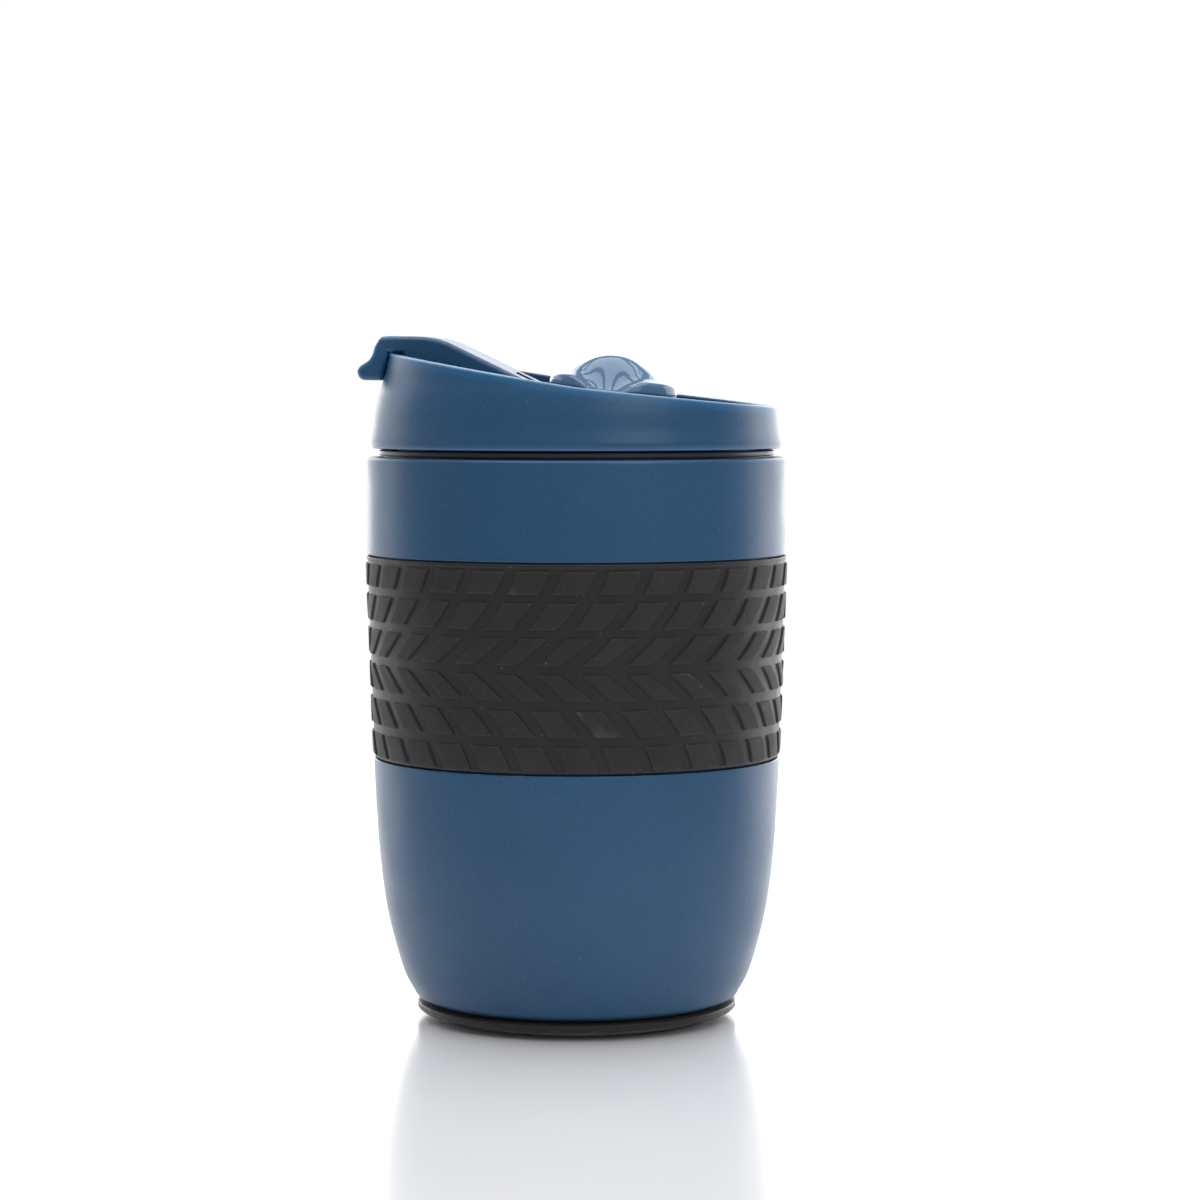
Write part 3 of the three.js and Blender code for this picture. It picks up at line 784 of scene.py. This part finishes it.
def drinkLip():
    # a rounded bead round the drinking hole, on the sloping channel floor
    steps, around = 64, 12
    points, faces = [], []
    bead = drinkHole["bead"]
    for k in range(steps):
        angle = 2 * math.pi * k / steps
        for m in range(around):
            turn = 2 * math.pi * m / around
            r = drinkHole["radius"] + drinkHole["beadOut"] + bead * math.cos(turn) * 0.8
            x, y = drinkHole["x"] + r * math.cos(angle), r * math.sin(angle)
            points.append((x, y, float(rimZ(x)) - lid["channelDepth"] + bead * 0.5 * math.sin(turn)))
    for k in range(steps):
        for m in range(around):
            a, b = k * around + m, k * around + (m + 1) % around
            c, d = ((k + 1) % steps) * around + (m + 1) % around, ((k + 1) % steps) * around + m
            faces.append([a, b, c, d])
    return put("drinkLip", points, faces, "lid")


def softenEdges(piece, width):
    bevel = piece.modifiers.new("soft", "BEVEL")
    bevel.use_clamp_overlap = False
    bevel.width = width * mm
    bevel.segments = 3
    bevel.limit_method = "ANGLE"
    bevel.angle_limit = math.radians(35)
    bevel.harden_normals = False
    bpy.context.view_layer.objects.active = piece
    bpy.ops.object.modifier_apply(modifier="soft")


def joinInto(target, others):
    for other in others:
        other.modifiers.clear()
        work = bmesh.new()
        work.from_mesh(target.data)
        work.from_mesh(other.data)
        work.to_mesh(target.data)
        work.free()
        bpy.data.objects.remove(other)


plug = dict(
    radius=38.2, innerR=35.8, grooveR=37.0, grooveLow=112, grooveHigh=115.4, neckTop=121.4, flangeR=41.0,
    lips=[(37.3, 112.3, 0.2), (38.3, 112.3, 0.2), (38.88, 112.9, 0.3), (38.4, 113.7, 0.2),
          (38.88, 114.5, 0.3), (38.3, 115.1, 0.2), (37.3, 115.1, 0.2)],
)


def makePlug():
    low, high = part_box("lid_plug")
    bottom, top = low.z / mm, high.z / mm
    outline = [
        (plug["innerR"], bottom, 0.5), (plug["radius"] - 0.3, bottom, 0.6),
        (plug["radius"], bottom + 1.2, 0.5), (plug["radius"], plug["grooveLow"], 0.3),
        (plug["grooveR"], plug["grooveLow"], 0.2), (plug["grooveR"], plug["grooveHigh"], 0.2),
        (plug["radius"], plug["grooveHigh"], 0.3), (plug["radius"], plug["neckTop"]),
        (plug["flangeR"], plug["neckTop"], 0.2), (plug["flangeR"], top, 0.2), (plug["innerR"], top, 0.3),
    ]
    ring = turned("lidPlug", rounded(outline), "lid", "lid_plug", 180)
    ring.data.materials.append(darkPlasticMaterial)
    gasket = turned("lidGasket", rounded(plug["lips"]), "lid", "lid_gasket", 180)
    gasket.data.materials.append(siliconeMaterial)


flap = dict(half=10.3, slope=0.483, slopeZ=143.3, slopeX=-25.0, top=145.1, tabOut=46.6,
            tabBottom=135.8, step=-35.9, tailR=3.0, edge=1.15, skin=1.6, clear=0.35, wallTop=141.6,
            tabStart=-41, pocketBack=-34.2, pocketFront=-14.6, below=128, bossR=5.2, bossLow=135.3,
            bossTop=142.4, notch=(-13.2, -6), notchTop=140)


def flapTopZ(x):
    return flap["slopeZ"] - flap["slope"] * (x - flap["slopeX"])


def flapOutline():
    # anticlockwise from the foot of the tab; the flag says which points lie on the lid's wall
    tailEnd = math.atan2(1.3, 2.7)
    tail = [(hinge["x"] + flap["tailR"] * math.cos(a), hinge["z"] + flap["tailR"] * math.sin(a), 0)
            for a in np.linspace(-math.pi / 2, tailEnd, 9)]
    wall = [(0, z, 1) for z in np.linspace(flap["tabBottom"], 141.7, 6)]
    crest = smoothRun([(-26.0, flapTopZ(-26.0)), (-28.6, 144.6), (-31.5, 145.0), (-35.5, flap["top"]),
                       (-39.6, flap["top"]), (-41.7, 144.4), (-42.8, 143.0), (-43.3, 141.4),
                       (-44.2, 140.0), (-45.7, 139.0), (-46.5, 138.1), (-46.45, 136.9),
                       (-45.7, 136.0), (-44.6, flap["tabBottom"])], 3)
    outline = wall + [(flap["step"], float(rimZ(flap["step"])) + flap["clear"], 0),
                      (flap["step"], float(rimZ(flap["step"])) - lid["channelDepth"] + 0.4, 0)]
    outline += tail + [(-9.2, flapTopZ(-9.2), 0), (-15, flapTopZ(-15), 0), (-21, flapTopZ(-21), 0)]
    return outline + [(x, z, 0) for x, z in crest]


def insetLoop(outline, depth):
    # moves an anticlockwise outline inwards, corners mitred
    result = []
    for i, (x, z, onWall) in enumerate(outline):
        before, after = outline[i - 1], outline[(i + 1) % len(outline)]
        first = Vector((x - before[0], z - before[1])).normalized()
        second = Vector((after[0] - x, after[1] - z)).normalized()
        inward = Vector((-first.y - second.y, first.x + second.x)).normalized()
        reach = depth / max(inward.dot(Vector((-first.y, first.x))), 0.6)
        result.append((x + inward.x * reach, z + inward.y * reach, onWall))
    return result


def flapStations():
    # across the flap: rounded over at both sides, straight between
    turn = [math.radians(a) for a in (90, 72, 54, 36, 18, 0)]
    side = [(flap["half"] - flap["edge"] + flap["edge"] * math.sin(a), flap["edge"] * (1 - math.cos(a)))
            for a in turn]
    inner = flap["half"] - flap["edge"]
    straight = [(y, 0) for y in np.linspace(-inner, inner, 11)[1:-1]]
    return [(-y, depth) for y, depth in side] + straight + side[::-1]


def makeFlap():
    outline = flapOutline()
    for i, (x, z, onWall) in enumerate(outline):
        if onWall:
            outline[i] = (-float(lidR(min(z, flap["wallTop"]))) - flap["clear"], z, 1)
    count = len(outline)
    points, faces = [], []
    stations = flapStations()
    for y, depth in stations:
        for x, z, onWall in insetLoop(outline, depth):
            bow = abs(x) if onWall else flap["tabOut"] if x < flap["tabStart"] else 0
            points.append((x + (bow - math.sqrt(bow * bow - y * y) if bow else 0), y, z))
    last = (len(stations) - 1) * count
    faces += [list(range(count))[::-1], list(range(last, last + count))]
    for s in range(len(stations) - 1):
        for i in range(count):
            a, b = s * count + i, s * count + (i + 1) % count
            faces.append([a, b, b + count, a + count])
    piece = put("drinkingFlap", points, faces, "flap", "drinking_flap")
    skin, below, back, front = flap["skin"], flap["below"], flap["pocketBack"], flap["pocketFront"]
    pocket = plainBar(rounded([
        (back, below), (front, below), (front, flapTopZ(front) - skin, 0.8),
        (-26.4, flapTopZ(-26.4) - skin, 2), (back, flap["top"] - skin - 0.5, 1),
    ]), -flap["half"] + skin, flap["half"] - skin)
    cutWith(piece, pocket, overlapping=True)
    boss = plainPost(drinkHole["x"], 0, flap["bossR"], flap["bossLow"], flap["bossTop"])
    cutWith(piece, boss, "UNION")
    back, front = flap["notch"]
    notchHalf = hinge["lugHalf"] + 0.4
    notch = plainBar(rounded([(back, below), (front, below), (front, flap["notchTop"]),
                              (back, flap["notchTop"], 0.5)]), -notchHalf, notchHalf)
    cutWith(piece, notch)
    bore = plainBar(disc(hinge["x"], hinge["z"], hinge["pinR"] + hinge["play"], 24),
                    -hinge["boreHalf"], hinge["boreHalf"])
    cutWith(piece, bore)
    for face in piece.data.polygons:
        face.use_smooth = True
    piece.data.materials.clear()
    piece.data.materials.append(lidPaintAndLightMaterial)
    # paints highlights on the tab's side fillets into the flap's colour
    paintFlapHighlights(piece)
    tidyNormals(piece, 32)

    end = hinge["pinHalf"]
    pinBar = rounded([(0, -end), (hinge["pinR"], -end, 0.25), (hinge["pinR"], end, 0.25), (0, end)], False)
    pin = turned("hingePin", pinBar, "lid", "flap_pin", 32, closed=False)
    pin.data.transform(turnToHinge())
    pin.data.materials.append(screwSteelMaterial)
    stopper = turned("drinkStopper", rounded(stopperSide, False), "flap", "drink_stopper", 64,
                     (drinkHole["x"], 0), False)
    stopper.data.materials.append(siliconeMaterial)


stopperSide = [(0, 131.7), (3.2, 131.7, 0.6), (3.55, 133.0), (3.8, 134.2, 0.3), (3.8, 135.0, 0.2),
               (0, 135.0)]


def turnToHinge():
    place = Matrix.Translation((hinge["x"] * mm, 0, hinge["z"] * mm))
    return place @ Matrix.Rotation(math.pi / 2, 4, "X")


knobSide = [(0, 7.85), (2, 7.72), (4, 7.22), (5.5, 6.62), (7, 5.82), (8.3, 4.95), (9.3, 4.2),
            (10.5, 3.5), (11.6, 3.12), (12.4, 2.92), (12.9, 2.7), (13.3, 2.25), (13.55, 1.5), (13.7, 0.7)]


knobUnder = [(13.5, 0.12), (13.3, 0.0), (3.0, 0.0), (3.0, -5.0)]


def makeKnob(steps=240):
    heart = knobRun[0][1]
    points, faces = [(0, 0, float(knobHeight(0, 0, heart)))], []
    for r, h in knobRun[1:]:
        for k in range(steps):
            angle = 2 * math.pi * k / steps
            u, v = r * math.cos(angle), r * math.sin(angle)
            points.append((u, v, float(knobHeight(u, v, h))))
    for r, h in knobUnder:
        points += [(x, y, h) for x, y in disc(0, 0, r, steps)]
    ringCount = len(knobRun) - 1 + len(knobUnder)
    points.append((0, 0, knobUnder[-1][1]))
    for k in range(steps):
        n = (k + 1) % steps
        faces.append([0, 1 + k, 1 + n])
        for i in range(ringCount - 1):
            a, b = 1 + i * steps, 1 + (i + 1) * steps
            faces.append([a + k, b + k, b + n, a + n])
        last = 1 + (ringCount - 1) * steps
        faces.append([last + n, last + k, len(points) - 1])
    cosT, sinT = math.cos(knobTilt), math.sin(knobTilt)
    placed = [(knob["x"] + u * cosT + w * sinT, v, knobBase - u * sinT + w * cosT) for u, v, w in points]
    piece = put("ventKnob", placed, faces, "vent", "vent_knob")
    piece.data.materials.append(glossBlueMaterial)
    tidyNormals(piece, 50)


def knobHeight(u, v, dome):
    # the dome less two finger scoops, front and back, each a funnel whose axis stands at the knob's edge
    reach = math.hypot(u * scoop["squash"], scoop["axis"] - abs(v))
    floor = scoop["foot"] + scoop["slope"] * max(reach - scoop["throat"], 0) ** scoop["curl"]
    blend = max(scoop["soft"] - abs(dome - floor), 0) / scoop["soft"]
    return min(dome, floor) - blend * blend * scoop["soft"] / 4


scoop = dict(axis=13.5, throat=2.6, slope=0.7, curl=1.15, squash=0.8, foot=0.35, soft=2.4)
knobRun = smoothRun(knobSide, 5)


def makeVentParts():
    for node, material in (("vent_disc", siliconeMaterial), ("knob_seal", footRubberMaterial),
                           ("vent_screw", screwSteelMaterial), ("valve_pad", footRubberMaterial),
                           ("valve_stem", darkPlasticMaterial), ("stem_nut", screwSteelMaterial),
                           ("bottom_plate", darkPlasticMaterial)):
        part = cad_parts[node]
        part.data.materials.clear()
        part.data.materials.append(material)


makeShell()
makeLiner()
makeCollar()
print("mug body made")
makeSleeve()
print("tread made")
makeBaseRing()
makeCup()
makeFootScrews()
print("suction foot made")
makeLidShell()
makePlug()
makeFlap()
makeKnob()
makeVentParts()
print("lid made")


studio = dict(floor=fromSrgb(240, 240, 242), floorPale=fromSrgb(246, 246, 248), clear=0.15, gone=0.62,
              radius=1.4, drop=0.0003, light=0.34, seen=1.0)


def makeStudio():
    bpy.context.scene.view_settings.view_transform = "Standard"
    circle = [(x, y, 0) for x, y in disc(0, 0, studio["radius"], 96)]
    mesh = bpy.data.meshes.new("studioFloor")
    mesh.from_pydata(circle, [], [list(range(len(circle)))])
    floor = bpy.data.objects.new("studioFloor", mesh)
    bpy.context.scene.collection.objects.link(floor)
    floor.location.z = -studio["drop"]
    finish = Finish("paleFloor", Specular_IOR_Level=0.3)
    finish.colour(finish.mixed(finish.noise(3, 2), studio["floor"], studio["floorPale"]))
    finish.rough(finish.between(finish.noise(9, 3), 0.14, 0.2))
    # the floor melts into the white round it
    radius = finish.add("ShaderNodeVectorMath", operation="LENGTH")
    finish.link(finish.place, radius.inputs[0])
    fade = finish.spread(radius.outputs["Value"], studio["clear"], studio["gone"], 0, 1)
    air = finish.add("ShaderNodeBsdfTransparent")
    both = finish.add("ShaderNodeMixShader")
    finish.link(fade, both.inputs[0])
    finish.link(finish.shader.outputs[0], both.inputs[1])
    finish.link(air.outputs[0], both.inputs[2])
    finish.link(both.outputs[0], finish.tree.nodes["Material Output"].inputs["Surface"])
    mesh.materials.append(finish.material)

    world = bpy.data.worlds.new("softWhite")
    world.use_nodes = True
    nodes, links = world.node_tree.nodes, world.node_tree.links
    background = nodes["Background"]
    background.inputs["Color"].default_value = (1, 1, 1, 1)
    ray = nodes.new("ShaderNodeLightPath")
    strength = nodes.new("ShaderNodeMapRange")
    strength.inputs["To Min"].default_value = studio["light"]
    strength.inputs["To Max"].default_value = studio["seen"]
    links.new(ray.outputs["Is Camera Ray"], strength.inputs["Value"])
    links.new(strength.outputs["Result"], background.inputs["Strength"])
    bpy.context.scene.world = world


# mm and degrees; azimuth is the bearing of the eye, aimRight and aimZ the point it looks at
camera = dict(azimuth=7.5, distance=765.0, eye=133.5, aimZ=88.9, aimRight=5.0, lens=107.5, sensor=36)

# around is the bearing from the camera, to its right; radiance is what a mirror would show
lampAim = Vector((0, 0, 0.08))
lamps = [
    dict(name="rearLeft", around=-140, away=1.0, up=0.1, size=(1.0, 1.1), radiance=1.12),
    dict(name="rearRight", around=138, away=1.0, up=0.1, size=(1.0, 1.1), radiance=1.85),
    dict(name="rearMiddle", around=180, away=1.3, up=0.45, size=(1.5, 1.1), radiance=2.0),
    dict(name="frontFill", around=35, away=1.2, up=0.75, size=(0.8, 0.6), radiance=1.6),
]
# the ceiling softbox is five strips side by side
ceiling = dict(strips=5, wide=0.2, long=1.4, gap=0.07, up=1.2, radiance=2.9)
for strip in range(ceiling["strips"]):
    step = (strip - (ceiling["strips"] - 1) / 2) * (ceiling["wide"] + ceiling["gap"])
    lamps.append(dict(name=f"ceiling{strip + 1}", around=90, away=step, up=ceiling["up"],
                      size=(ceiling["wide"], ceiling["long"]), radiance=ceiling["radiance"], flat=True))


def makeLamps():
    for lamp in lamps:
        light = bpy.data.lights.new(lamp["name"], "AREA")
        light.shape = "RECTANGLE"
        light.size, light.size_y = lamp["size"]
        light.energy = lamp["radiance"] * math.pi * light.size * light.size_y
        holder = bpy.data.objects.new(lamp["name"], light)
        bpy.context.scene.collection.objects.link(holder)
        bearing = math.radians(camera["azimuth"] + lamp["around"])
        holder.location = (lamp["away"] * math.sin(bearing), -lamp["away"] * math.cos(bearing), lamp["up"])
        holder.rotation_euler = (lampAim - holder.location).to_track_quat("-Z", "Y").to_euler()
        if lamp.get("flat"):
            holder.rotation_euler = (0, 0, math.radians(camera["azimuth"]))
        holder.visible_camera = False


def makeCamera():
    turn = math.radians(camera["azimuth"])
    right = Vector((math.cos(turn), math.sin(turn), 0))
    eye = Vector((math.sin(turn) * camera["distance"], -math.cos(turn) * camera["distance"],
                  camera["eye"])) * mm
    aim = (right * camera["aimRight"] + Vector((0, 0, camera["aimZ"]))) * mm
    lens = bpy.data.cameras.new("studioCamera")
    lens.lens = camera["lens"]
    lens.sensor_width = camera["sensor"]
    lens.clip_start = 0.01
    holder = bpy.data.objects.new("studioCamera", lens)
    bpy.context.scene.collection.objects.link(holder)
    holder.location = eye
    holder.rotation_euler = (aim - eye).to_track_quat("-Z", "Y").to_euler()
    bpy.context.scene.camera = holder


makeStudio()
makeLamps()
makeCamera()
print("studio made")
